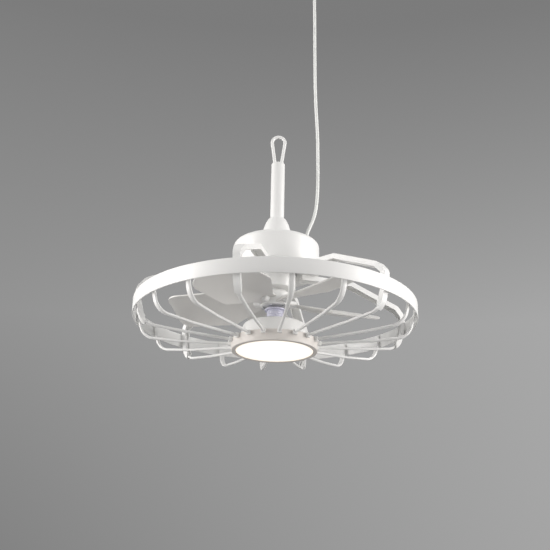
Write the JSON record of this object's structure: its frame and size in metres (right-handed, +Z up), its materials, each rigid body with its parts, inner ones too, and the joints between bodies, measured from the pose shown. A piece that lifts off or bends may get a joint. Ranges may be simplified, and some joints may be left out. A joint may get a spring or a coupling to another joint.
{
  "type": "caged ceiling fan with lamp",
  "caption": "Hanging ceiling fan: a flat guard band on channel arms and curved wire-like ribs round a bladed rotor, with a round lamp below, a stem with a hanging loop and a mains cord.",
  "frame": {"origin": "inner top of the hanging loop, where a ceiling hook bears, on the fan's axis", "axes": "+Z up along the fan's axis, +Y away from the picture's camera and along the axis of the hanging loop, +X to the camera's right"},
  "size_m": [0.5299, 0.53, 0.8414],
  "materials": {
    "white_paint": "satin white powder coat",
    "white_wire": "satin white coated wire",
    "white_plastic": "satin white moulding",
    "lamp_trim": "satin off-white moulding",
    "blade_plastic": "satin white moulding",
    "neck_plastic": "pale blue-grey ribbed moulding",
    "diffuser": "opal diffuser, lit warm white",
    "cord_jacket": "white cord jacket",
    "zinc_steel": "zinc plated",
    "ground_steel": "ground",
    "lamination": "stacked sheet",
    "copper_wire": "enamelled winding wire",
    "magnet": "sintered",
    "circuit_board": "solder mask",
    "heat_spreader": "mill finish",
    "rubber_seal": "matt"
  },
  "bodies": {
    "frame": {"arm_screws": "zinc_steel", "bell_collar": "white_paint", "collar_set_screw": "zinc_steel", "control_board": "circuit_board", "cord_ceiling_grip": "white_plastic", "cord_gland": "white_plastic", "cover_screws": "zinc_steel", "guard_arm_1": "white_paint", "guard_arm_2": "white_paint", "guard_arm_3": "white_paint", "guard_arm_4": "white_paint", "guard_arm_5": "white_paint", "guard_arm_6": "white_paint", "guard_rib_pair_1": "white_paint", "guard_rib_pair_2": "white_paint", "guard_rib_pair_3": "white_paint", "guard_rib_pair_4": "white_paint", "guard_rib_pair_5": "white_paint", "guard_rib_pair_6": "white_paint", "guard_rib_pair_7": "white_paint", "guard_rib_pair_8": "white_paint", "guard_rib_pair_9": "white_paint", "guard_ring": "white_paint", "hanging_loop": "white_wire", "heat_sink": "heat_spreader", "housing_base": "white_paint", "housing_cover": "white_paint", "housing_gasket": "rubber_seal", "lamp_bezel": "lamp_trim", "lamp_diffuser": "diffuser", "lamp_gasket": "rubber_seal", "lamp_housing": "white_paint", "lamp_neck": "neck_plastic", "lamp_screws": "zinc_steel", "led_board": "circuit_board", "loop_sleeves": "white_wire", "motor_shaft": "ground_steel", "power_cord": "cord_jacket", "shaft_nut": "zinc_steel", "stator_core": "lamination", "stator_windings": "copper_wire", "stem_cap": "white_paint", "stem_nut": "zinc_steel", "stem_tube": "white_paint"},
    "rotor": {"rotor_cup": "white_paint", "rotor_lid": "white_paint", "magnet_ring": "magnet", "upper_bearing": "ground_steel", "lower_bearing": "ground_steel", "blade_hub": "white_plastic", "blade_screws": "zinc_steel", "fan_blade_1": "blade_plastic", "fan_blade_2": "blade_plastic", "fan_blade_3": "blade_plastic", "fan_blade_4": "blade_plastic", "fan_blade_5": "blade_plastic"}
  },
  "joints": [
    {"name": "rotor_spin", "type": "hinge", "parent": "frame", "child": "rotor", "pos_m": [0, 0, -0.3138], "axis": [0, 0, 1], "continuous": true}
  ]
}
